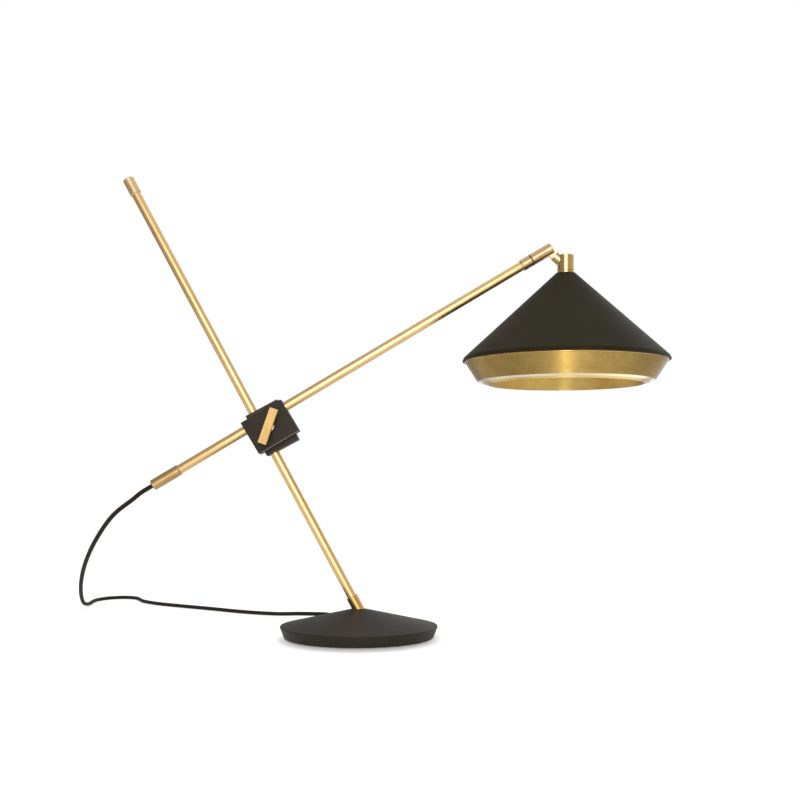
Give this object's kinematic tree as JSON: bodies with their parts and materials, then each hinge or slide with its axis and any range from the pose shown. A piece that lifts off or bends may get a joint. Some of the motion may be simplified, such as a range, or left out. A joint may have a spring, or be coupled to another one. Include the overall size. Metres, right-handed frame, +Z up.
{
  "type": "desk lamp",
  "caption": "Desk lamp of crossed brass rods gripped by a black double clamp with a lever, on a round black base, with a black conical shade and brass ring",
  "frame": {"origin": "centre of the base's underside, on the table", "axes": "+Z up; +X from the mast's foot towards the shade, the direction that the arm reaches; -Y towards the lever, the lamp's front as pictured; the mast's axis lies in the XZ plane"},
  "size_m": [0.7789, 0.5401, 0.548],
  "materials": {
    "black_casting": "satin",
    "felt": "matte",
    "steel": "brushed",
    "polished_brass": "polished",
    "rod_brass": "polished",
    "pale_brass": "brushed",
    "liner": "matte",
    "black_block": "satin",
    "friction_disc": "matte",
    "grip_rubber": "matte",
    "cord_cover": "matte",
    "spring_steel": "satin",
    "zinc_steel": "satin",
    "black_shade": "satin",
    "brass_inside": "satin",
    "flare_brass": "brushed",
    "holder_plastic": "gloss",
    "bulb_cap_metal": "satin",
    "frosted_glass": "frosted",
    "tie_strap": "matte",
    "plug_rubber": "matte",
    "plug_metal": "satin"
  },
  "bodies": {
    "base": {"base_weight": "black_casting", "felt_pad": "felt", "foot_bolt": "steel", "mast_socket": "polished_brass", "mast_tube": "rod_brass", "mast_cap": "pale_brass"},
    "mast_slider": {"mast_bush": "liner"},
    "mast_clamp": {"mast_block": "black_block", "clamp_nut": "steel", "friction_washer": "friction_disc"},
    "arm_clamp": {"arm_block": "black_block", "arm_bush": "liner"},
    "lever": {"clamp_bolt": "steel", "lever_boss": "pale_brass", "clamp_lever": "pale_brass"},
    "arm": {"arm_tube": "rod_brass", "tail_sleeve": "pale_brass", "cord_grip": "grip_rubber", "inner_flex": "cord_cover", "arm_collar": "pale_brass", "cord_run": "cord_cover", "cord_coil": "cord_cover", "cord_lead": "cord_cover", "cord_tie": "tie_strap", "plug_body": "plug_rubber", "plug_blades": "plug_metal"},
    "swivel": {"swivel_clip": "spring_steel", "swivel_fork": "pale_brass", "knuckle_pin": "steel"},
    "shade": {"knuckle_tongue": "pale_brass", "shade_collar": "polished_brass", "collar_ring": "polished_brass", "threaded_tube": "zinc_steel", "shade_nut": "zinc_steel", "shade_cone": "black_shade", "reflector": "brass_inside", "flare_ring": "flare_brass", "lampholder": "holder_plastic", "holder_contact": "pale_brass", "bulb_cap": "bulb_cap_metal", "bulb_glass": "frosted_glass"}
  },
  "joints": [
    {"name": "mast_slide", "type": "slide", "parent": "base", "child": "mast_slider", "axis": [-0.4726, 0, 0.8813], "range_m": [-0.19, 0.29]},
    {"name": "mast_swing", "type": "hinge", "parent": "mast_slider", "child": "mast_clamp", "pos_m": [-0.11294, 0, 0.24313], "axis": [-0.4726, 0, 0.8813], "range_deg": [-60, 60]},
    {"name": "arm_pivot", "type": "hinge", "parent": "mast_clamp", "child": "arm_clamp", "pos_m": [-0.10236, -0.011, 0.2488], "axis": [0, -1, 0], "range_deg": [-35, 50]},
    {"name": "lever_turn", "type": "hinge", "parent": "arm_clamp", "child": "lever", "pos_m": [-0.10236, -0.045, 0.2488], "axis": [0, -1, 0], "range_deg": [0, 180]},
    {"name": "arm_slide", "type": "slide", "parent": "arm_clamp", "child": "arm", "axis": [-0.8594, 0, -0.5113], "range_m": [-0.085, 0.16]},
    {"name": "head_swivel", "type": "hinge", "parent": "arm", "child": "swivel", "pos_m": [0.20269, -0.022, 0.44425], "axis": [0.8594, 0, 0.5113], "range_deg": [-120, 120]},
    {"name": "shade_tilt", "type": "hinge", "parent": "swivel", "child": "shade", "pos_m": [0.22211, -0.022, 0.45581], "axis": [0, -1, 0], "range_deg": [-15, 90]}
  ]
}
